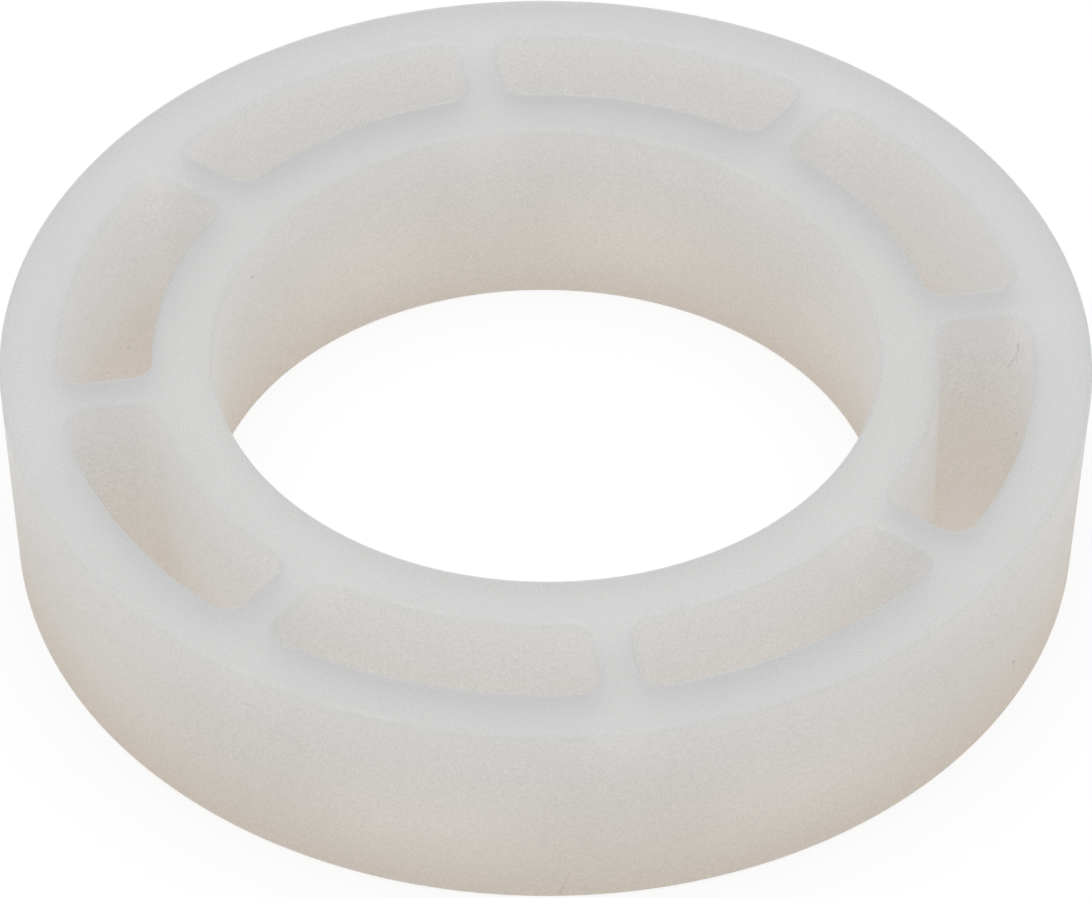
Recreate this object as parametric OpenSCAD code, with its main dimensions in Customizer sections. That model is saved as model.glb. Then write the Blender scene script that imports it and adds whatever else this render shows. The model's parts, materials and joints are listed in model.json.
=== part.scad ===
// Moulded spacer washer: one ring with a row of blind pockets between its two walls.
// The origin is at the centre of the lower face, +Z runs along the bore,
// and the pockets open upwards. All sizes are in millimetres, all slopes in degrees.

/* [Ring] */
// Outside diameter at the upper face
outer_d = 42; // [40:0.5:60]
// Height between the two faces
height = 9; // [6:0.5:20]
// Slope of the outside wall, which narrows towards the lower face
outer_draft = 2.35; // [0:0.05:3]

/* [Bore] */
// Diameter of the straight land that fits over the shaft
bore_d = 25.7; // [16:0.1:27.5]
// Length of the straight land, measured from the upper face
bore_land = 2.5; // [1:0.25:5]
// Slope of the bore below its land, where it widens towards the lower face
bore_draft = 3.1; // [0:0.1:4]

/* [Pockets] */
// Number of pockets, with one rib between each two
pocket_count = 8; // [4:1:12]
// Wall between the bore and the pockets, at the upper face
inner_wall = 2.3; // [1.4:0.1:3.2]
// Wall between the pockets and the outside, at the upper face
outer_wall = 2.2; // [1.4:0.1:3.2]
// Thickness of each rib at the upper face
rib_wall = 1.45; // [1:0.05:3]
// Floor left under the pockets
floor_wall = 1; // [0.6:0.1:3]
// Slope of the pocket sides, which close in towards the floor
pocket_draft = 0.8; // [0:0.1:1.5]
// Radius of the upright corners of a pocket
corner_r = 0.9; // [0.4:0.05:1.2]
// Radius between the pocket sides and the floor
floor_r = 0.5; // [0.1:0.05:0.7]

/* [Edges] */
// Radius of every edge at the upper face
rim_r = 0.2; // [0.05:0.05:0.35]
// Radius of both edges at the lower face
foot_r = 0.25; // [0.05:0.05:0.5]

/* [Smoothness] */
// Chords along each long side of a pocket
side_steps = 8; // [4:1:16]
// Chords round each upright corner of a pocket
corner_steps = 4; // [2:1:8]
// Chords across each edge radius of the ring
edge_steps = 4; // [2:1:8]
// Chords across each radius of a pocket
pocket_edge_steps = 3; // [2:1:6]

/* [Hidden] */

// Straight part that every limited radius leaves beside it
least_flat = 0.1;
ring_colour = [0.93, 0.925, 0.905];
ring_facets = 180;

outer_r = outer_d / 2;
bore_r = bore_d / 2;
land_z = height - bore_land;

// Pocket outline at the upper face, before its edge is rounded
pocket_inner_r = bore_r + inner_wall;
pocket_outer_r = outer_r - outer_wall;
half_rib = rib_wall / 2;
half_pitch = 180 / pocket_count;
pocket_w = pocket_outer_r - pocket_inner_r;
corner = min(corner_r, pocket_w / 2 - least_flat);

// The floor radius stays inside what the corners have left at that depth
pocket_depth = height - floor_wall;
floor_round = min(floor_r, corner - pocket_depth * tan(pocket_draft) - least_flat / 2);

// Azimuths of the corner centres, measured from the middle of the pocket
outer_corner_az = half_pitch - asin((half_rib + corner) / (pocket_outer_r - corner));
inner_corner_az = half_pitch - asin((half_rib + corner) / (pocket_inner_r + corner));

// Unit vector at an angle
function heading(angle) = [cos(angle), sin(angle)];

// Points along a circular arc, both ends included
function arc(centre, radius, from, to, steps) =
    [for (i = [0:steps]) centre + radius * heading(from + (to - from) * i / steps)];

// The same points without the two ends
function inner_arc(radius, from, to, steps) =
    [for (i = [1:steps - 1]) radius * heading(from + (to - from) * i / steps)];

// Section of the ring in the plane of its axis, as [radius, z]: the outside wall
// touches the two rounded edges beside it, and the sloped bore touches its foot edge
function ring_section() =
    let (
        rim_x = outer_r - rim_r,
        foot_shift = (rim_r - foot_r - (height - rim_r - foot_r) * sin(outer_draft)) / cos(outer_draft),
        bore_foot_x = bore_r + (land_z - foot_r) * tan(bore_draft) + foot_r / cos(bore_draft)
    )
    concat(
        arc([bore_foot_x, foot_r], foot_r, 180 + bore_draft, 270, edge_steps),
        arc([rim_x + foot_shift, foot_r], foot_r, -90, -outer_draft, edge_steps),
        arc([rim_x, height - rim_r], rim_r, -outer_draft, 90, edge_steps),
        arc([bore_r + rim_r, height - rim_r], rim_r, 90, 180, edge_steps),
        [[bore_r, land_z]]
    );

// Pocket outline grown outwards by some amount, or shrunk where it is negative;
// the corner centres stay, so each outline keeps an even distance from the next
function pocket_outline(grow) =
    let (
        r_out = pocket_outer_r + grow,
        r_in = pocket_inner_r - grow,
        r_corner = corner + grow,
        outer_centre = pocket_outer_r - corner,
        inner_centre = pocket_inner_r + corner,
        rib_side = half_pitch + 90
    )
    concat(
        inner_arc(r_out, -outer_corner_az, outer_corner_az, side_steps),
        arc(outer_centre * heading(outer_corner_az), r_corner,
            outer_corner_az, rib_side, corner_steps),
        arc(inner_centre * heading(inner_corner_az), r_corner,
            rib_side, 180 + inner_corner_az, corner_steps),
        inner_arc(r_in, inner_corner_az, -inner_corner_az, side_steps),
        arc(inner_centre * heading(-inner_corner_az), r_corner,
            180 - inner_corner_az, 360 - rib_side, corner_steps),
        arc(outer_centre * heading(-outer_corner_az), r_corner,
            360 - rib_side, 360 - outer_corner_az, corner_steps)
    );

// Side of a pocket from its floor to its rim, as [growth, z]: the floor radius,
// the sloped side, the rounded rim, and one step on past the upper face
function pocket_side() =
    let (
        slope = pocket_draft,
        floor_x = -(pocket_depth - floor_round) * tan(slope) - floor_round / cos(slope),
        rim_x = rim_r * (1 - sin(slope)) / cos(slope),
        floor_arc = arc([floor_x, floor_wall + floor_round], floor_round,
                        -90, -slope, pocket_edge_steps),
        rim_arc = arc([rim_x, height - rim_r], rim_r, 180 - slope, 90, pocket_edge_steps),
        last = rim_arc[pocket_edge_steps],
        before = rim_arc[pocket_edge_steps - 1]
    )
    concat(floor_arc, rim_arc, [2 * last - before]);

// Core that leaves one pocket: its outline is lofted up through the levels of its side
module pocket_core() {
    levels = pocket_side();
    rings = [for (level = levels) [for (p = pocket_outline(level[0])) [p[0], p[1], level[1]]]];
    count = len(rings[0]);
    top = len(levels) - 1;
    walls = [
        for (j = [0:top - 1], i = [0:count - 1])
            let (next = (i + 1) % count)
            [j * count + i, (j + 1) * count + i, (j + 1) * count + next, j * count + next]
    ];
    floor_cap = [for (i = [0:count - 1]) i];
    rim_cap = [for (i = [0:count - 1]) top * count + count - 1 - i];
    polyhedron(points = [for (ring = rings) each ring], faces = concat(walls, [floor_cap, rim_cap]));
}

// The whole washer: a turned ring less one core for each pocket, with a rib on +X
module spacer_ring() {
    color(ring_colour)
        difference() {
            rotate_extrude($fn = ring_facets)
                polygon(ring_section());
            for (k = [0:pocket_count - 1])
                rotate([0, 0, (2 * k + 1) * half_pitch])
                    pocket_core();
        }
}

spacer_ring();
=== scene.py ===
"""Dresses a moulded spacer washer: a milky plastic ring with a row of blind pockets in its upper face.

The ring is modelled as the share of one pocket, from the middle of one rib to the middle of the next.
A Geometry Nodes tree repeats that share round the axis and joins it into one closed skin, which stands
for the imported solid. Each small mark is given by the pixels of the photograph that show it, and its
place on the ring is found along their lines of sight. Lengths are in metres and angles in radians,
unless a name says otherwise.
"""

import json
import logging
import math
from dataclasses import dataclass, field
from enum import Enum

import bmesh
import bpy
from mathutils import Matrix, Vector
from mathutils.bvhtree import BVHTree

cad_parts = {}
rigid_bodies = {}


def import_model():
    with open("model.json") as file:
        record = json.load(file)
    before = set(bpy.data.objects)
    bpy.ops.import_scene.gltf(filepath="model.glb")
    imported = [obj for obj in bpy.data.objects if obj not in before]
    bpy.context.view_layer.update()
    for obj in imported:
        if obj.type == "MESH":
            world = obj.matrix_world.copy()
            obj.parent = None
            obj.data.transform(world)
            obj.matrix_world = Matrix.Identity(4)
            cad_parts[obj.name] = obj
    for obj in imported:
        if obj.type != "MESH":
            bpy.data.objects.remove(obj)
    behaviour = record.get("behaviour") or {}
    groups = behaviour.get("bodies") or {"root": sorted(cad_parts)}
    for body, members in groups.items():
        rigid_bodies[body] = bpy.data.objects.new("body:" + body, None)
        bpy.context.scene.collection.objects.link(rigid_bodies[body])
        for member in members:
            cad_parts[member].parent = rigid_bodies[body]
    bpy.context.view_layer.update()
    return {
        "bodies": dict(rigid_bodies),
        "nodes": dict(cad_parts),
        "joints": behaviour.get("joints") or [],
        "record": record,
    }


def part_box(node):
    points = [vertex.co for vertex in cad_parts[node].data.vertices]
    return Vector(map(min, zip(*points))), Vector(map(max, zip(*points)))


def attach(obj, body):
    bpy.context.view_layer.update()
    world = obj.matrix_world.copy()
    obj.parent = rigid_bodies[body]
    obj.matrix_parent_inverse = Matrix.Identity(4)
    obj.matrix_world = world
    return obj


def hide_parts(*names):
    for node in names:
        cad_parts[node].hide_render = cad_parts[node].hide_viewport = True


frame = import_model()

log = logging.getLogger("spacer_washer")

MM = 0.001
RING_NODE = "spacer_ring"
WHITE = (1.0, 1.0, 1.0, 1.0)
Socket = bpy.types.NodeSocket
Colour = tuple[float, float, float, float]
Pixel = tuple[float, float]


# Outlines and sections

def heading(angle: float) -> Vector:
    """Unit vector in a plane at an angle from its first axis."""
    return Vector((math.cos(angle), math.sin(angle)))


def arc(centre: Vector, radius: float, start: float, stop: float, steps: int) -> list[Vector]:
    """Points along a circular arc, both ends included.

    Args:
        centre: Centre of the arc.
        radius: Radius of the arc.
        start: Angle of the first point.
        stop: Angle of the last point.
        steps: Number of chords.

    Returns:
        One point more than there are chords.
    """
    return [centre + radius * heading(start + (stop - start) * i / steps) for i in range(steps + 1)]


def line(start: Vector, stop: Vector, steps: int) -> list[Vector]:
    """Points along a straight line, both ends included.

    Args:
        start: First point.
        stop: Last point.
        steps: Number of equal parts.

    Returns:
        One point more than there are parts.
    """
    return [start.lerp(stop, i / steps) for i in range(steps + 1)]


def chain(*stretches: list[Vector]) -> list[Vector]:
    """Joins stretches that start where the one before ends, so that each shared point is there once.

    Args:
        stretches: Lists of points.

    Returns:
        One list of points.
    """
    joined = list(stretches[0])
    for stretch in stretches[1:]:
        joined.extend(stretch[1:])
    return joined


def at_height(point: Vector, z: float) -> Vector:
    """A point of a plan view lifted to a height."""
    return Vector((point.x, point.y, z))


@dataclass(frozen=True)
class Divisions:
    """Number of chords or rows on each stretch of one pocket's share of the ring."""

    pocket_side: int = 24
    corner: int = 10
    rib: int = 4
    edge: int = 7
    wall: int = 10
    floor_edge: int = 8
    floor: int = 4


@dataclass(frozen=True)
class RingSizes:
    """Sizes of the washer, at the upper face where they differ along the height."""

    outer_r: float
    height: float
    bore_r: float
    bore_land: float
    outer_draft: float = math.radians(2.35)
    bore_draft: float = math.radians(3.1)
    pocket_count: int = 8
    inner_wall: float = 2.3 * MM
    outer_wall: float = 2.2 * MM
    rib_wall: float = 1.45 * MM
    floor_wall: float = 1.0 * MM
    pocket_draft: float = math.radians(0.8)
    corner_r: float = 0.9 * MM
    floor_r: float = 0.5 * MM
    rim_r: float = 0.2 * MM
    foot_r: float = 0.25 * MM

    @classmethod
    def from_frame(cls, packed: dict) -> "RingSizes":
        """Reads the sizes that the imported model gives.


        Returns:
            The sizes, with the ring's own values for what the frame doesn't give.
        """
        low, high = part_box(RING_NODE)
        bore = next(m for m in packed["record"]["mounts"] if m["name"] == "bore")
        return cls(
            outer_r=(high.x - low.x) / 2,
            height=high.z - low.z,
            bore_r=bore["dims"]["r_mm"] * MM,
            bore_land=bore["dims"]["length_mm"] * MM + cls.rim_r,
        )

    @property
    def half_pitch(self) -> float:
        """Half the angle from one rib to the next."""
        return math.pi / self.pocket_count

    @property
    def half_rib(self) -> float:
        """Half a rib's thickness."""
        return self.rib_wall / 2

    @property
    def land_z(self) -> float:
        """Height at which the bore's straight land ends."""
        return self.height - self.bore_land

    @property
    def outer_centre(self) -> float:
        """Distance of a pocket's outer corner centres from the axis."""
        return self.outer_r - self.outer_wall - self.corner_r

    @property
    def inner_centre(self) -> float:
        """Distance of a pocket's inner corner centres from the axis."""
        return self.bore_r + self.inner_wall + self.corner_r

    def corner_azimuth(self, centre_distance: float) -> float:
        """Azimuth of a corner centre, from the middle of the pocket."""
        return self.half_pitch - math.asin((self.half_rib + self.corner_r) / centre_distance)

    def along_rib(self, centre_distance: float) -> float:
        """Distance along the rib's middle at which a corner centre stands beside it."""
        return math.sqrt(centre_distance ** 2 - (self.half_rib + self.corner_r) ** 2)


class Skin:
    """A mesh that is put together from rows of points."""

    def __init__(self) -> None:
        """Starts with no faces."""
        self.points: list[Vector] = []
        self.faces: list[tuple[int, ...]] = []

    def add_rows(self, rows: list[list[Vector]], closed: bool) -> None:
        """Adds a sheet of four-sided faces between rows of points.

        Args:
            rows: Rows with the same number of points each.
            closed: True if each row's last point is followed by its first.
        """
        first = len(self.points)
        width = len(rows[0])
        for row in rows:
            self.points.extend(row)
        for j in range(len(rows) - 1):
            for i in range(width if closed else width - 1):
                here, beside = first + j * width + i, first + j * width + (i + 1) % width
                self.faces.append((here, beside, beside + width, here + width))

    def mesh(self, name: str, join_distance: float) -> bpy.types.Mesh:
        """Turns the sheets into a mesh, with their shared edges joined.

        Args:
            name: Name of the mesh.
            join_distance: Points nearer to each other than this become one.

        Returns:
            The new mesh.
        """
        made = bpy.data.meshes.new(name)
        made.from_pydata(self.points, [], self.faces)
        work = bmesh.new()
        work.from_mesh(made)
        bmesh.ops.remove_doubles(work, verts=work.verts, dist=join_distance)
        bmesh.ops.dissolve_degenerate(work, edges=work.edges, dist=join_distance)
        work.to_mesh(made)
        work.free()
        return made


# Node trees

class NodeBuilder:
    """Adds nodes to a tree and links them."""

    FIRST_COLOUR = 6
    SECOND_COLOUR = 7
    COLOUR_RESULT = 2

    def __init__(self, tree: bpy.types.NodeTree) -> None:
        """Takes the tree to build in and clears it."""
        self.tree = tree
        tree.nodes.clear()

    def add(self, kind: str, inputs: dict | None = None, **settings: object) -> bpy.types.Node:
        """Adds one node.

        Args:
            kind: The node's type.
            inputs: Values or sockets for its inputs, by name or number.
            settings: The node's own properties.

        Returns:
            The new node.
        """
        node = self.tree.nodes.new(kind)
        for name, value in settings.items():
            setattr(node, name, value)
        for name, value in (inputs or {}).items():
            socket = node.inputs[name]
            if isinstance(value, bpy.types.NodeSocket):
                self.tree.links.new(value, socket)
            else:
                socket.default_value = value
        return node

    def math(self, operation: str, first: object, second: object = 0.0, clamp: bool = False) -> Socket:
        """Adds one sum of two numbers and returns its result."""
        node = self.add("ShaderNodeMath", {0: first, 1: second}, operation=operation, use_clamp=clamp)
        return node.outputs[0]

    def vector(self, operation: str, first: object, second: object = (0.0, 0.0, 0.0)) -> bpy.types.Node:
        """Adds one sum of two vectors and returns its node."""
        return self.add("ShaderNodeVectorMath", {0: first, 1: second}, operation=operation)

    def blend(self, share: object, first: object, second: object, way: str = "MIX") -> Socket:
        """Adds a blend of two colours.

        Args:
            share: How far the second colour counts, from 0 to 1.
            first: Colour or socket that is there at share 0.
            second: Colour or socket that is laid over it.
            way: Blend type.

        Returns:
            The socket that gives the blend.
        """
        colours = {0: share, self.FIRST_COLOUR: first, self.SECOND_COLOUR: second}
        node = self.add("ShaderNodeMix", colours, data_type="RGBA", blend_type=way)
        return node.outputs[self.COLOUR_RESULT]


class RoundRepeat:
    """Geometry Nodes tree that repeats a share of a ring round the Z axis and joins the copies."""

    COPIES = "Copies"
    JOIN = "Join Distance"
    FINISH = "Finish"

    def __init__(self, name: str) -> None:
        """Builds the tree under a name."""
        self.tree = bpy.data.node_groups.new(name, "GeometryNodeTree")
        self.sockets = self._interface()
        self._build()

    def _interface(self) -> dict[str, str]:
        face = self.tree.interface
        face.new_socket("Share", in_out="INPUT", socket_type="NodeSocketGeometry")
        kinds = {
            self.COPIES: "NodeSocketInt",
            self.JOIN: "NodeSocketFloat",
            self.FINISH: "NodeSocketMaterial",
        }
        identifiers = {}
        for name, kind in kinds.items():
            identifiers[name] = face.new_socket(name, in_out="INPUT", socket_type=kind).identifier
        face.new_socket("Ring", in_out="OUTPUT", socket_type="NodeSocketGeometry")
        return identifiers

    def _build(self) -> None:
        """Adds the nodes: one copy at each half pitch and a half, then one skin with its finish."""
        build = NodeBuilder(self.tree)
        given = build.add("NodeGroupInput").outputs
        seats = build.add("GeometryNodePoints", {"Count": given[self.COPIES]})
        number = build.add("GeometryNodeInputIndex").outputs["Index"]
        pitch = build.math("DIVIDE", math.tau, given[self.COPIES])
        azimuth = build.math("MULTIPLY", build.math("ADD", number, 0.5), pitch)
        turn = build.add("ShaderNodeCombineXYZ", {"Z": azimuth})
        rotation = build.add("FunctionNodeEulerToRotation", {"Euler": turn.outputs["Vector"]})
        copies = build.add(
            "GeometryNodeInstanceOnPoints",
            {
                "Points": seats.outputs[0],
                "Instance": given["Share"],
                "Rotation": rotation.outputs["Rotation"],
            },
        )
        real = build.add("GeometryNodeRealizeInstances", {"Geometry": copies.outputs["Instances"]})
        joined = build.add(
            "GeometryNodeMergeByDistance",
            {"Geometry": real.outputs["Geometry"], "Distance": given[self.JOIN]},
        )
        smooth = build.add("GeometryNodeSetShadeSmooth", {"Geometry": joined.outputs["Geometry"]})
        dressed = build.add(
            "GeometryNodeSetMaterial",
            {"Geometry": smooth.outputs["Geometry"], "Material": given[self.FINISH]},
        )
        build.add("NodeGroupOutput", {"Ring": dressed.outputs["Geometry"]})

    def apply(self, share: bpy.types.Mesh, name: str, values: dict[str, object]) -> bpy.types.Object:
        """Repeats a share and returns the result as an object with a plain mesh.

        Args:
            share: Mesh of one share.
            name: Name of the new object.
            values: The tree's inputs, by name.

        Returns:
            An object in the scene, with no modifier.
        """
        piece = bpy.data.objects.new(name, share)
        bpy.context.scene.collection.objects.link(piece)
        modifier = piece.modifiers.new("Repeat", "NODES")
        modifier.node_group = self.tree
        for label, value in values.items():
            modifier[self.sockets[label]] = value
        depsgraph = bpy.context.evaluated_depsgraph_get()
        plain = bpy.data.meshes.new_from_object(piece.evaluated_get(depsgraph), depsgraph=depsgraph)
        piece.modifiers.remove(modifier)
        piece.data = plain
        plain.name = name
        plain.materials.clear()
        plain.materials.append(values[self.FINISH])
        return piece


# The photograph's view

@dataclass(frozen=True)
class PhotoCamera:
    """Camera at the photograph's angle, by where the ring's centre stands in its picture.

    Attributes:
        target: The point of the object that stands at centre_px in the picture.
    """

    target: Vector
    azimuth: float = math.radians(-9.08)
    elevation: float = math.radians(43.08)
    roll: float = math.radians(0.32)
    distance: float = 282.4 * MM
    focal_px: float = 7261.0
    picture_px: tuple[int, int] = (1092, 898)
    centre_px: Pixel = (545.5, 432.5)
    sensor_mm: float = 36.0
    clip_factor: float = 100.0

    def pose(self) -> Matrix:
        """Place and turn of the camera, as the matrix of its object."""
        a, e = self.azimuth, self.elevation
        back = Vector((math.sin(a) * math.cos(e), -math.cos(a) * math.cos(e), math.sin(e)))
        level = Vector((math.cos(a), math.sin(a), 0.0))
        upright = back.cross(level)
        right = math.cos(self.roll) * level + math.sin(self.roll) * upright
        up = back.cross(right)
        across, above = self._slope(self.centre_px)
        place = self.target + self.distance * (back - across * right - above * up)
        return Matrix.Translation(place) @ Matrix((right, up, back)).transposed().to_4x4()

    def _slope(self, pixel: Pixel) -> tuple[float, float]:
        """How far a pixel lies to the right and above the picture's middle, for each unit of depth."""
        width, height = self.picture_px
        return (pixel[0] - width / 2) / self.focal_px, (height / 2 - pixel[1]) / self.focal_px

    def sight(self, pixel: Pixel) -> tuple[Vector, Vector]:
        """Where the line of sight through a pixel starts, and its direction."""
        pose = self.pose()
        across, above = self._slope(pixel)
        return pose.translation, (pose.to_3x3() @ Vector((across, above, -1.0))).normalized()

    def build(self) -> bpy.types.Object:
        """Makes the camera and sets it as the scene's.

        Returns:
            The camera.
        """
        data = bpy.data.cameras.new("camera")
        data.sensor_width = self.sensor_mm
        data.lens = self.focal_px / self.picture_px[0] * self.sensor_mm
        data.clip_start = self.distance / self.clip_factor
        data.clip_end = self.distance * self.clip_factor
        camera = bpy.data.objects.new("camera", data)
        camera.matrix_world = self.pose()
        bpy.context.scene.collection.objects.link(camera)
        bpy.context.scene.camera = camera
        return camera


class PhotoSight:
    """Finds the places on a piece that pixels of the photograph show."""

    def __init__(self, mesh: bpy.types.Mesh, camera: PhotoCamera) -> None:
        """Takes the mesh to look at, which lies at the origin, and the camera to look through."""
        points = [vertex.co.copy() for vertex in mesh.vertices]
        self.surface = BVHTree.FromPolygons(points, [tuple(face.vertices) for face in mesh.polygons])
        self.camera = camera

    def place_mm(self, pixel: Pixel) -> Vector:
        """The first place of the piece behind a pixel, in millimetres.

        Args:
            pixel: Distance from the picture's left and upper edge.

        Returns:
            The place, along the piece's own axes.
        """
        place = self.surface.ray_cast(*self.camera.sight(pixel))[0]
        if place is None:
            raise ValueError(f"pixel {pixel} doesn't show the piece")
        return place / MM


# Small marks

class MarkKind(Enum):
    """What a small mark on the plastic is."""

    DUST = "grey dust or a fibre"
    STAIN = "brown stain"


@dataclass(frozen=True)
class Mark:
    """A speck at one pixel of the photograph, or a fine streak through several."""

    kind: MarkKind
    seen_px: tuple[Pixel, ...]
    width_mm: float
    strength: float

    def streaks(self, sight: PhotoSight) -> list[tuple[Vector, Vector]]:
        """Finds the mark's straight pieces on the piece that shows it.

        Args:
            sight: Finder of the places that the pixels show.

        Returns:
            Both ends of each piece in millimetres, which are one point for a speck.
        """
        places = [sight.place_mm(pixel) for pixel in self.seen_px]
        return list(zip(places, places[1:])) or [(places[0], places[0])]


# Where the photograph shows the marks, as pixels from its left and upper edge

FIBRE_TIP_PX = (1018.5, 343.0)
FIBRE_NECK_PX = (1018.0, 350.0)
FIBRE_NECK_END_PX = (1018.0, 351.0)
FIBRE_FORK_PX = (1017.0, 354.0)
FIBRE_BEND_PX = (1015.5, 357.0)
FIBRE_LONG_END_PX = (1007.0, 368.0)
FIBRE_SHORT_END_PX = (1016.5, 363.5)
DEEP_SPECK_TOP_PX = (1017.5, 432.0)
DEEP_SPECK_FOOT_PX = (1015.5, 436.0)
LEFT_SPECK_PX = (128.0, 348.0)
BORE_SPECK_LEFT_PX = (250.5, 278.5)
BORE_SPECK_RIGHT_PX = (254.0, 275.5)
FACE_SPECK_PX = (701.5, 705.5)
RIM_STAIN_PX = (1051.0, 516.5)
WALL_STAIN_TOP_PX = (1013.0, 660.5)
WALL_STAIN_FOOT_PX = (1014.0, 664.0)
LEFT_STREAK_LEFT_PX = (240.0, 702.5)
LEFT_STREAK_RIGHT_PX = (256.0, 706.5)
FOOT_STAIN_FOOT_PX = (559.0, 895.0)
FOOT_STAIN_MIDDLE_PX = (564.0, 885.0)
FOOT_STAIN_THIN_PX = (564.0, 886.0)
FOOT_STAIN_TOP_PX = (570.0, 872.0)
FRONT_FAINT_STAIN_PX = (763.0, 641.0)
RIGHT_FAINT_STAIN_PX = (908.5, 566.0)


# The marks themselves

FORKED_FIBRE = (
    Mark(MarkKind.DUST, (FIBRE_TIP_PX, FIBRE_NECK_END_PX), width_mm=0.16, strength=0.13),
    Mark(MarkKind.DUST, (FIBRE_NECK_PX, FIBRE_BEND_PX, FIBRE_LONG_END_PX), width_mm=0.13, strength=0.10),
    Mark(MarkKind.DUST, (FIBRE_FORK_PX, FIBRE_SHORT_END_PX), width_mm=0.12, strength=0.08),
)
SPECKS = (
    Mark(MarkKind.DUST, (DEEP_SPECK_TOP_PX, DEEP_SPECK_FOOT_PX), width_mm=0.14, strength=0.09),
    Mark(MarkKind.DUST, (LEFT_SPECK_PX,), width_mm=0.18, strength=0.12),
    Mark(MarkKind.DUST, (BORE_SPECK_LEFT_PX, BORE_SPECK_RIGHT_PX), width_mm=0.16, strength=0.12),
    Mark(MarkKind.DUST, (FACE_SPECK_PX,), width_mm=0.16, strength=0.10),
)
STAINS = (
    Mark(MarkKind.STAIN, (RIM_STAIN_PX,), width_mm=0.26, strength=0.13),
    Mark(MarkKind.STAIN, (WALL_STAIN_TOP_PX, WALL_STAIN_FOOT_PX), width_mm=0.26, strength=0.15),
    Mark(MarkKind.STAIN, (LEFT_STREAK_LEFT_PX, LEFT_STREAK_RIGHT_PX), width_mm=0.12, strength=0.08),
    Mark(MarkKind.STAIN, (FOOT_STAIN_FOOT_PX, FOOT_STAIN_MIDDLE_PX), width_mm=0.20, strength=0.09),
    Mark(MarkKind.STAIN, (FOOT_STAIN_THIN_PX, FOOT_STAIN_TOP_PX), width_mm=0.14, strength=0.06),
    Mark(MarkKind.STAIN, (FRONT_FAINT_STAIN_PX,), width_mm=0.16, strength=0.08),
    Mark(MarkKind.STAIN, (RIGHT_FAINT_STAIN_PX,), width_mm=0.16, strength=0.08),
)


# Finishes

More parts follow.
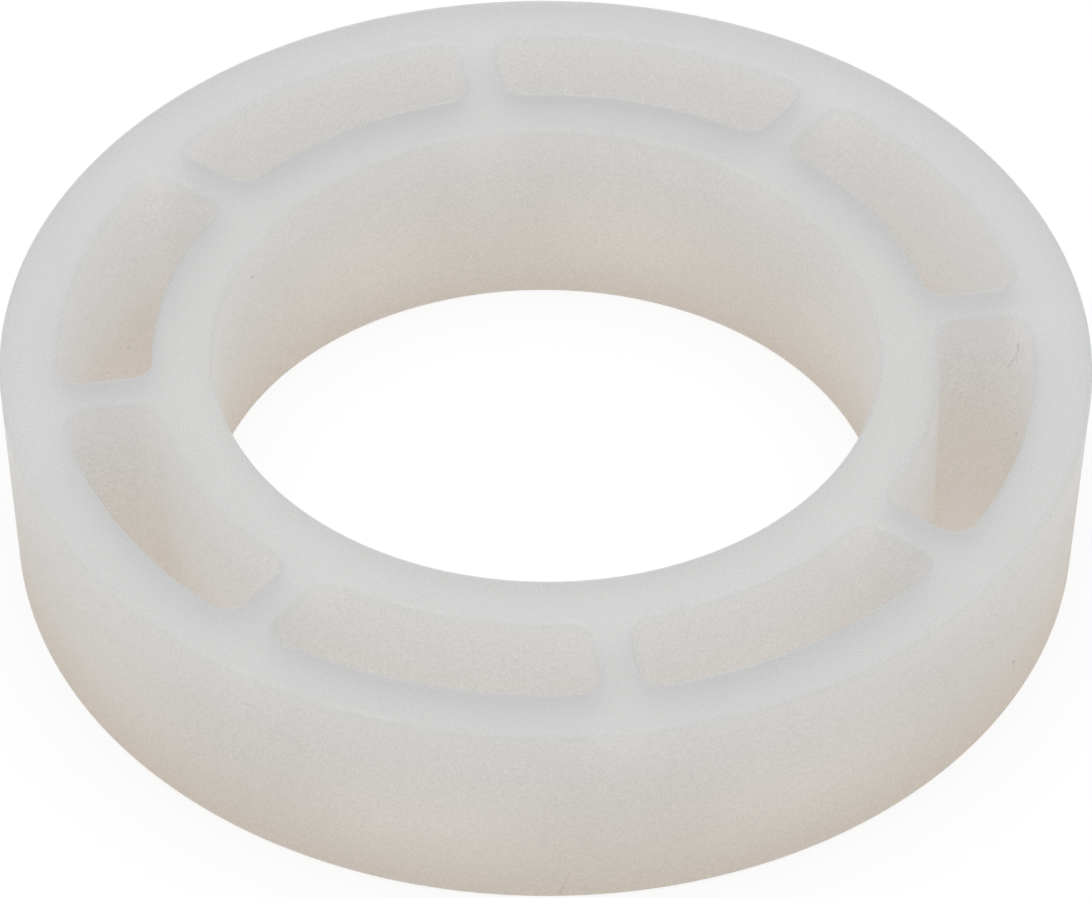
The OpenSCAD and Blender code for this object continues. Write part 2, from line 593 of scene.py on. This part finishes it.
@dataclass(frozen=True)
class MilkyPlastic:
    """Natural moulded plastic: a milky, translucent body under a thin matte skin.

    The skin tints what shines out of the body. It is clear half way up and carries painted warm shade at
    the foot and painted shade on the upper face, as well as the grain, the specks and the stains.
    """

    name: str = "moulded_milky"
    body_tone: Colour = (0.98, 0.98, 0.975, 1.0)
    clear_tone: Colour = (0.99, 0.99, 0.99, 1.0)
    # Painted warm shade: the skin turns warmer and darker towards the foot, standing in for the shade
    # and warm bounce light near the floor.
    painted_foot_shade_tone: Colour = (1.0, 0.95, 0.90, 1.0)
    # Painted shade: the upper face is greyed to offset the light from the lamp above.
    painted_face_shade_tone: Colour = (0.90, 0.91, 0.92, 1.0)
    # How fast the painted warm shade at the foot fades going up.
    painted_foot_shade_power: float = 2.5
    # How closely the painted shade keeps to the upper face.
    painted_face_shade_power: float = 16.0
    shade_tone: Colour = (0.70, 0.70, 0.70, 1.0)
    dust_tone: Colour = (0.20, 0.20, 0.18, 1.0)
    stain_tone: Colour = (0.42, 0.31, 0.20, 1.0)
    grain_share: float = 0.21
    scatter_mm: tuple[float, float, float] = (46.0, 46.0, 46.0)
    body_roughness: float = 1.0
    body_specular: float = 0.5
    skin_roughness: float = 0.8
    skin_ior: float = 1.3
    grain_per_mm: float = 11.0
    grain_detail: float = 1.0
    grain_range: tuple[float, float] = (0.3, 0.7)
    grain_depth: float = 0.002 * MM
    mark_core: float = 0.35
    marks: tuple[Mark, ...] = FORKED_FIBRE + SPECKS + STAINS

    def build(self, made: bpy.types.Material, height: float, sight: PhotoSight) -> None:
        """Builds the nodes of an empty material.

        Args:
            made: The material to fill.
            height: Height of the ring, from its foot to its upper face.
            sight: Finder of the places on the ring that the photograph's pixels show.
        """
        made.use_nodes = True
        build = NodeBuilder(made.node_tree)
        place = build.add("ShaderNodeTexCoord").outputs["Object"]
        per_mm = 1 / MM
        scaled = {"Vector": place, "Scale": (per_mm, per_mm, per_mm)}
        in_mm = build.add("ShaderNodeMapping", scaled).outputs["Vector"]
        grain = self._grain(build, in_mm)
        # The skin tint holds painted shade by height (warm at the foot, grey on the upper face) as well
        # as the grain and the marks.
        skin = self._tint_with_painted_shade(build, in_mm, grain, height)
        for kind, tone in ((MarkKind.STAIN, self.stain_tone), (MarkKind.DUST, self.dust_tone)):
            skin = build.blend(self._cover(build, in_mm, kind, sight), skin, tone)
        # The base colour carries the same painted shade by height.
        body = build.blend(1.0, self.body_tone, skin, "MULTIPLY")
        relief = build.add("ShaderNodeBump", {"Distance": self.grain_depth, "Height": grain})
        shader = build.add(
            "ShaderNodeBsdfPrincipled",
            {
                "Base Color": body,
                "Roughness": self.body_roughness,
                "Specular IOR Level": self.body_specular,
                "Subsurface Weight": 1.0,
                "Subsurface Radius": self.scatter_mm,
                "Subsurface Scale": MM,
                "Coat Weight": 1.0,
                "Coat Roughness": self.skin_roughness,
                "Coat IOR": self.skin_ior,
                # The coat tint carries the painted shade by height, with the grain and the marks.
                "Coat Tint": skin,
                "Coat Normal": relief.outputs["Normal"],
            },
            subsurface_method="RANDOM_WALK",
        )
        build.add("ShaderNodeOutputMaterial", {"Surface": shader.outputs["BSDF"]})

    def _grain(self, build: NodeBuilder, in_mm: Socket) -> Socket:
        """Fine noise, stretched so that it fills 0 to 1."""
        grains = {"Vector": in_mm, "Scale": self.grain_per_mm, "Detail": self.grain_detail}
        noise = build.add("ShaderNodeTexNoise", grains).outputs["Fac"]
        low, high = self.grain_range
        stretch = {"Value": noise, "From Min": low, "From Max": high}
        return build.add("ShaderNodeMapRange", stretch).outputs["Result"]

    def _tint_with_painted_shade(self, build: NodeBuilder, in_mm: Socket, grain: Socket, height: float) -> Socket:
        """Tint of the clean skin: painted warm shade towards the foot and painted shade on the upper
        face, by height, with the grain.

        Args:
            build: Builder of the material's tree.
            in_mm: Place on the surface, in millimetres.
            grain: Noise of the grain.
            height: Height of the ring, from its foot to its upper face.

        Returns:
            The socket that gives the tint.
        """
        z = build.add("ShaderNodeSeparateXYZ", {"Vector": in_mm}).outputs["Z"]
        level = build.math("DIVIDE", z, height / MM, clamp=True)
        # Share of the painted warm shade, strongest at the foot.
        painted_foot_shade_share = build.math("POWER", build.math("SUBTRACT", 1.0, level), self.painted_foot_shade_power)
        # Share of the painted shade, which rises steeply near the upper face.
        painted_face_shade_share = build.math("POWER", level, self.painted_face_shade_power)
        wall = build.blend(painted_foot_shade_share, self.clear_tone, self.painted_foot_shade_tone)
        tone = build.blend(painted_face_shade_share, wall, self.painted_face_shade_tone)
        return build.blend(build.math("MULTIPLY", grain, self.grain_share), tone, self.shade_tone)

    def _cover(self, build: NodeBuilder, in_mm: Socket, kind: MarkKind, sight: PhotoSight) -> Socket:
        """How far each place of the surface is covered by marks of one kind, from 0 to 1.

        A streak is a long ellipse round its two ends, where the distances to them add up to one sum.

        Args:
            build: Builder of the material's tree.
            in_mm: Place on the surface, in millimetres.
            kind: The kind of mark.
            sight: Finder of the places on the ring that the photograph's pixels show.

        Returns:
            The socket that gives the cover.
        """
        cover = 0.0
        for mark in (m for m in self.marks if m.kind is kind):
            for start, end in mark.streaks(sight):
                length = (end - start).length
                to_start = build.vector("DISTANCE", in_mm, start).outputs["Value"]
                to_end = build.vector("DISTANCE", in_mm, end).outputs["Value"]
                fade = {
                    "Value": build.math("ADD", to_start, to_end),
                    "From Min": math.hypot(length, self.mark_core * mark.width_mm),
                    "From Max": math.hypot(length, mark.width_mm),
                    "To Min": mark.strength,
                    "To Max": 0.0,
                }
                edge = build.add("ShaderNodeMapRange", fade, interpolation_type="SMOOTHSTEP")
                cover = build.math("MAXIMUM", cover, edge.outputs["Result"])
        return cover


# The washer

@dataclass
class SpacerRing:
    """The moulded ring, the washer's only piece."""

    sizes: RingSizes
    finish: MilkyPlastic
    camera: PhotoCamera
    name: str = "moulded_ring"
    divisions: Divisions = field(default_factory=Divisions)
    join_distance: float = 0.001 * MM
    upper_shares: tuple[float, ...] = (0.0, 0.05, 0.5, 0.95, 1.0)
    lower_shares: tuple[float, ...] = (0.0, 0.05, 0.3, 0.5, 0.7, 0.95, 1.0)

    def build(self) -> bpy.types.Object:
        """Makes the ring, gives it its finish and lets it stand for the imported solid.

        Returns:
            The finished piece.
        """
        share = self._share().mesh("pocket_share", self.join_distance)
        dress = bpy.data.materials.new(self.finish.name)
        repeat = RoundRepeat("round_repeat")
        piece = repeat.apply(
            share,
            self.name,
            {
                RoundRepeat.COPIES: self.sizes.pocket_count,
                RoundRepeat.JOIN: self.join_distance,
                RoundRepeat.FINISH: dress,
            },
        )
        bpy.data.meshes.remove(share)
        turn_faces_outwards(piece.data)
        self.finish.build(dress, self.sizes.height, PhotoSight(piece.data, self.camera))
        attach(piece, "root")
        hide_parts(RING_NODE)
        return piece

    def _share(self) -> Skin:
        """Skin of one pocket's share, with its pocket in the middle and open at both rib middles."""
        skin = Skin()
        pocket = self._pocket_rows()
        skin.add_rows(self._upper_rows(pocket[0]), closed=True)
        skin.add_rows(pocket, closed=True)
        outer, inner = self._azimuths()
        skin.add_rows(self._turned(self._outer_section(), outer), closed=False)
        skin.add_rows(self._turned(self._bore_section(), inner), closed=False)
        skin.add_rows(self._lower_rows(outer, inner), closed=False)
        return skin

    def _azimuths(self) -> tuple[list[float], list[float]]:
        """Azimuths of the rows of points on the outside wall and on the bore."""
        found = []
        for centre in (self.sizes.outer_centre, self.sizes.inner_centre):
            corner = self.sizes.corner_azimuth(centre)
            half = Vector((self.sizes.half_pitch, 0.0))
            side = Vector((corner, 0.0))
            corner_steps = self.divisions.corner // 2
            points = chain(
                line(-half, -side, corner_steps),
                line(-side, side, self.divisions.pocket_side),
                line(side, half, corner_steps),
            )
            found.append([p.x for p in points])
        return found[0], found[1]

    def _outline(self, grow: float) -> list[Vector]:
        """Plan of the pocket, grown outwards by some amount, from the middle of a rib side round.

        Args:
            grow: How far the outline stands outside the pocket's nominal one.

        Returns:
            The outline's points, anticlockwise from the start of its outer arc.
        """
        s, d = self.sizes, self.divisions
        outer_az = s.corner_azimuth(s.outer_centre)
        inner_az = s.corner_azimuth(s.inner_centre)
        rib_side = s.half_pitch + math.pi / 2
        radius = s.corner_r + grow
        origin = Vector((0.0, 0.0))

        def corner(distance: float, azimuth: float, start: float, stop: float) -> list[Vector]:
            """Points round one corner."""
            return arc(distance * heading(azimuth), radius, start, stop, d.corner)

        left_outer = corner(s.outer_centre, outer_az, outer_az, rib_side)
        left_inner = corner(s.inner_centre, inner_az, rib_side, math.pi + inner_az)
        right_inner = corner(s.inner_centre, -inner_az, math.pi - inner_az, math.tau - rib_side)
        right_outer = corner(s.outer_centre, -outer_az, math.tau - rib_side, math.tau - outer_az)
        closed = chain(
            arc(origin, s.outer_centre + radius, -outer_az, outer_az, d.pocket_side),
            left_outer,
            line(left_outer[-1], left_inner[0], d.rib),
            left_inner,
            arc(origin, s.inner_centre - radius, inner_az, -inner_az, d.pocket_side),
            right_inner,
            line(right_inner[-1], right_outer[0], d.rib),
            right_outer,
        )
        return closed[:-1]

    def _perimeter(self) -> list[Vector]:
        """Plan of the upper face's flat part, with one point for each of the pocket outline's."""
        s, d = self.sizes, self.divisions
        half_corner = d.corner // 2
        outer_r, inner_r = s.outer_r - s.rim_r, s.bore_r + s.rim_r
        outer_az = s.corner_azimuth(s.outer_centre)
        inner_az = s.corner_azimuth(s.inner_centre)
        far, near = s.along_rib(s.outer_centre), s.along_rib(s.inner_centre)
        origin = Vector((0.0, 0.0))

        def rib_middle(azimuth: float, start: float, stop: float, steps: int) -> list[Vector]:
            """Points along the middle of a rib."""
            return line(start * heading(azimuth), stop * heading(azimuth), steps)

        left, right = s.half_pitch, -s.half_pitch
        closed = chain(
            arc(origin, outer_r, -outer_az, outer_az, d.pocket_side),
            arc(origin, outer_r, outer_az, left, half_corner),
            rib_middle(left, outer_r, far, half_corner),
            rib_middle(left, far, near, d.rib),
            rib_middle(left, near, inner_r, half_corner),
            arc(origin, inner_r, left, inner_az, half_corner),
            arc(origin, inner_r, inner_az, -inner_az, d.pocket_side),
            arc(origin, inner_r, -inner_az, right, half_corner),
            rib_middle(right, inner_r, near, half_corner),
            rib_middle(right, near, far, d.rib),
            rib_middle(right, far, outer_r, half_corner),
            arc(origin, outer_r, right, -outer_az, half_corner),
        )
        return closed[:-1]

    def _upper_rows(self, rim: list[Vector]) -> list[list[Vector]]:
        """Rows of the upper face, from the pocket's rim to the edge of its share."""
        edge = [at_height(p, self.sizes.height) for p in self._perimeter()]
        return [[a.lerp(b, share) for a, b in zip(edge, rim)] for share in self.upper_shares]

    def _pocket_side(self) -> list[Vector]:
        """Side of the pocket from its rim down to its floor, as growth and height."""
        s, d = self.sizes, self.divisions
        slope = s.pocket_draft
        depth = s.height - s.floor_wall
        rim_x = s.rim_r * (1 - math.sin(slope)) / math.cos(slope)
        floor_x = -(depth - s.floor_r) * math.tan(slope) - s.floor_r / math.cos(slope)
        rim = arc(Vector((rim_x, s.height - s.rim_r)), s.rim_r, math.pi / 2, math.pi - slope, d.edge)
        floor_centre = Vector((floor_x, s.floor_wall + s.floor_r))
        floor_edge = arc(floor_centre, s.floor_r, -slope, -math.pi / 2, d.floor_edge)
        return chain(rim, line(rim[-1], floor_edge[0], d.wall), floor_edge)

    def _pocket_rows(self) -> list[list[Vector]]:
        """Rows of the pocket's skin, down its side and in across its floor to a line in its middle."""
        s, d = self.sizes, self.divisions
        levels = self._pocket_side()
        rows = [[at_height(p, level.y) for p in self._outline(level.x)] for level in levels]
        floor = rows[-1]
        middle_r = (s.outer_centre + s.inner_centre) / 2
        end_az = s.corner_azimuth(middle_r)
        side = arc(Vector((0.0, 0.0)), middle_r, -end_az, end_az, d.pocket_side)
        corner_points = 2 * d.corner + d.rib - 1
        spine = chain(side + [side[-1]] * corner_points + side[::-1] + [side[0]] * corner_points)
        target = [at_height(p, s.floor_wall) for p in spine]
        for step in range(1, d.floor + 1):
            rows.append([a.lerp(b, step / d.floor) for a, b in zip(floor, target)])
        return rows

    def _outer_section(self) -> list[Vector]:
        """Outside wall from the upper face to the lower one, as radius and height."""
        s, d = self.sizes, self.divisions
        slope = s.outer_draft
        drop = s.height - s.rim_r - s.foot_r
        shift = (s.rim_r - s.foot_r - drop * math.sin(slope)) / math.cos(slope)
        rim_x = s.outer_r - s.rim_r
        rim = arc(Vector((rim_x, s.height - s.rim_r)), s.rim_r, math.pi / 2, -slope, d.edge)
        foot = arc(Vector((rim_x + shift, s.foot_r)), s.foot_r, -slope, -math.pi / 2, d.edge)
        return chain(rim, line(rim[-1], foot[0], d.wall), foot)

    def _bore_section(self) -> list[Vector]:
        """Bore from the upper face to the lower one, as radius and height."""
        s, d = self.sizes, self.divisions
        slope = s.bore_draft
        rim_centre = Vector((s.bore_r + s.rim_r, s.height - s.rim_r))
        rim = arc(rim_centre, s.rim_r, math.pi / 2, math.pi, d.edge)
        land_end = Vector((s.bore_r, s.land_z))
        foot_x = s.bore_r + (s.land_z - s.foot_r) * math.tan(slope) + s.foot_r / math.cos(slope)
        foot_centre = Vector((foot_x, s.foot_r))
        foot = arc(foot_centre, s.foot_r, math.pi + slope, math.tau - math.pi / 2, d.edge)
        return chain(
            rim,
            line(rim[-1], land_end, d.wall // 2),
            line(land_end, foot[0], d.wall),
            foot,
        )

    def _lower_rows(self, outer: list[float], inner: list[float]) -> list[list[Vector]]:
        """Rows of the lower face, from the outside wall's foot to the bore's."""
        outer_r = self._outer_section()[-1].x
        bore_r = self._bore_section()[-1].x
        rows = []
        for share in self.lower_shares:
            radius = outer_r + (bore_r - outer_r) * share
            azimuths = [a + (b - a) * share for a, b in zip(outer, inner)]
            rows.append([at_height(radius * heading(a), 0.0) for a in azimuths])
        return rows

    @staticmethod
    def _turned(section: list[Vector], azimuths: list[float]) -> list[list[Vector]]:
        """Rows of a wall turned about the axis, one row for each point of its section."""
        return [[at_height(p.x * heading(a), p.y) for a in azimuths] for p in section]


def turn_faces_outwards(mesh: bpy.types.Mesh) -> None:
    """Points every face of a closed mesh outwards and stops if the mesh isn't closed.

    Args:
        mesh: The mesh to put right.
    """
    work = bmesh.new()
    work.from_mesh(mesh)
    bmesh.ops.recalc_face_normals(work, faces=work.faces)
    open_edges = sum(1 for edge in work.edges if not edge.is_manifold)
    work.to_mesh(mesh)
    work.free()
    if open_edges:
        raise ValueError(f"{mesh.name} has {open_edges} open edges")


# The studio

@dataclass(frozen=True)
class Studio:
    """A pale opal table in soft light: an even sky, a wide lamp above and a faint glow below."""

    sky_level: float = 0.44
    lamp_watts: float = 3.6
    lamp_height: float = 0.6
    lamp_width: float = 0.7
    table_side: float = 6.0
    table_gap: float = 0.02 * MM
    table_tone: Colour = (0.20, 0.20, 0.20, 1.0)
    glow_tone: Colour = (1.0, 0.96, 0.90, 1.0)
    glow_level: float = 0.46
    shown_tone: Colour = (0.12, 0.12, 0.12, 1.0)
    shown_glow: float = 0.86

    def build(self) -> None:
        """Makes the sky, the lamp and the table."""
        self._sky()
        self._lamp()
        self._table()

    @staticmethod
    def _seen(build: NodeBuilder) -> Socket:
        """1 for what the camera sees straight, in a reflection or through something clear."""
        path = build.add("ShaderNodeLightPath").outputs
        direct = build.math("MAXIMUM", path["Is Camera Ray"], path["Is Glossy Ray"])
        return build.math("MAXIMUM", direct, path["Is Transmission Ray"])

    def _sky(self) -> None:
        """Even white surroundings, which show white and light the washer less."""
        world = bpy.data.worlds.new("sky")
        world.use_nodes = True
        world.cycles.sampling_method = "NONE"
        bpy.context.scene.world = world
        build = NodeBuilder(world.node_tree)
        light = build.add("ShaderNodeBackground", {"Color": WHITE, "Strength": self.sky_level})
        shown = build.add("ShaderNodeBackground", {"Color": WHITE, "Strength": 1.0})
        both = self._mixed(build, self._seen(build), light.outputs[0], shown.outputs[0])
        build.add("ShaderNodeOutputWorld", {"Surface": both})

    def _lamp(self) -> None:
        """One wide round lamp straight above."""
        data = bpy.data.lights.new("top_light", "AREA")
        data.shape = "DISK"
        data.energy = self.lamp_watts
        data.size = self.lamp_width
        lamp = bpy.data.objects.new("top_light", data)
        lamp.location = (0.0, 0.0, self.lamp_height)
        bpy.context.scene.collection.objects.link(lamp)

    def _table(self) -> bpy.types.Object:
        """A square table top that shows white and keeps a soft shadow."""
        half = self.table_side / 2
        corners = [(-half, -half), (half, -half), (half, half), (-half, half)]
        mesh = bpy.data.meshes.new("table")
        mesh.from_pydata([(x, y, -self.table_gap) for x, y in corners], [], [(0, 1, 2, 3)])
        mesh.materials.append(self._opal())
        table = bpy.data.objects.new("table", mesh)
        bpy.context.scene.collection.objects.link(table)
        return table

    def _opal(self) -> bpy.types.Material:
        """Opal sheet: white from above, clear from below, so that the lower face can be looked at."""
        made = bpy.data.materials.new("opal_table")
        made.use_nodes = True
        made.cycles.emission_sampling = "NONE"
        build = NodeBuilder(made.node_tree)
        sheet = self._lit_sheet(build, self.table_tone, self.glow_tone, self.glow_level)
        shown = self._lit_sheet(build, self.shown_tone, WHITE, self.shown_glow)
        both = self._mixed(build, self._seen(build), sheet, shown)
        clear = build.add("ShaderNodeBsdfTransparent").outputs[0]
        from_below = build.math(
            "MULTIPLY",
            build.add("ShaderNodeNewGeometry").outputs["Backfacing"],
            build.add("ShaderNodeLightPath").outputs["Is Camera Ray"],
        )
        build.add("ShaderNodeOutputMaterial", {"Surface": self._mixed(build, from_below, both, clear)})
        return made

    @staticmethod
    def _mixed(build: NodeBuilder, share: Socket, first: Socket, second: Socket) -> Socket:
        """A mix of two shaders, all the second one at share 1."""
        return build.add("ShaderNodeMixShader", {0: share, 1: first, 2: second}).outputs[0]

    @staticmethod
    def _lit_sheet(build: NodeBuilder, tone: Colour, glow_tone: Colour, glow_level: float) -> Socket:
        """A matt sheet that also glows a little."""
        matt = build.add("ShaderNodeBsdfDiffuse", {"Color": tone})
        glow = build.add("ShaderNodeEmission", {"Color": glow_tone, "Strength": glow_level})
        return build.add("ShaderNodeAddShader", {0: matt.outputs[0], 1: glow.outputs[0]}).outputs[0]


def main() -> None:
    """Builds the washer, the studio and the camera, in that order."""
    logging.basicConfig(level=logging.INFO, format="%(name)s: %(message)s")
    sizes = RingSizes.from_frame(frame)
    camera = PhotoCamera(Vector((0.0, 0.0, sizes.height / 2)))
    piece = SpacerRing(sizes, MilkyPlastic(), camera).build()
    log.info("%s: %d faces", piece.name, len(piece.data.polygons))
    Studio().build()
    log.info("studio: table, sky and lamp")
    camera.build()
    log.info("camera: at the photograph's angle")
    bpy.context.scene.view_settings.view_transform = "Standard"


if __name__ == "__main__":
    main()
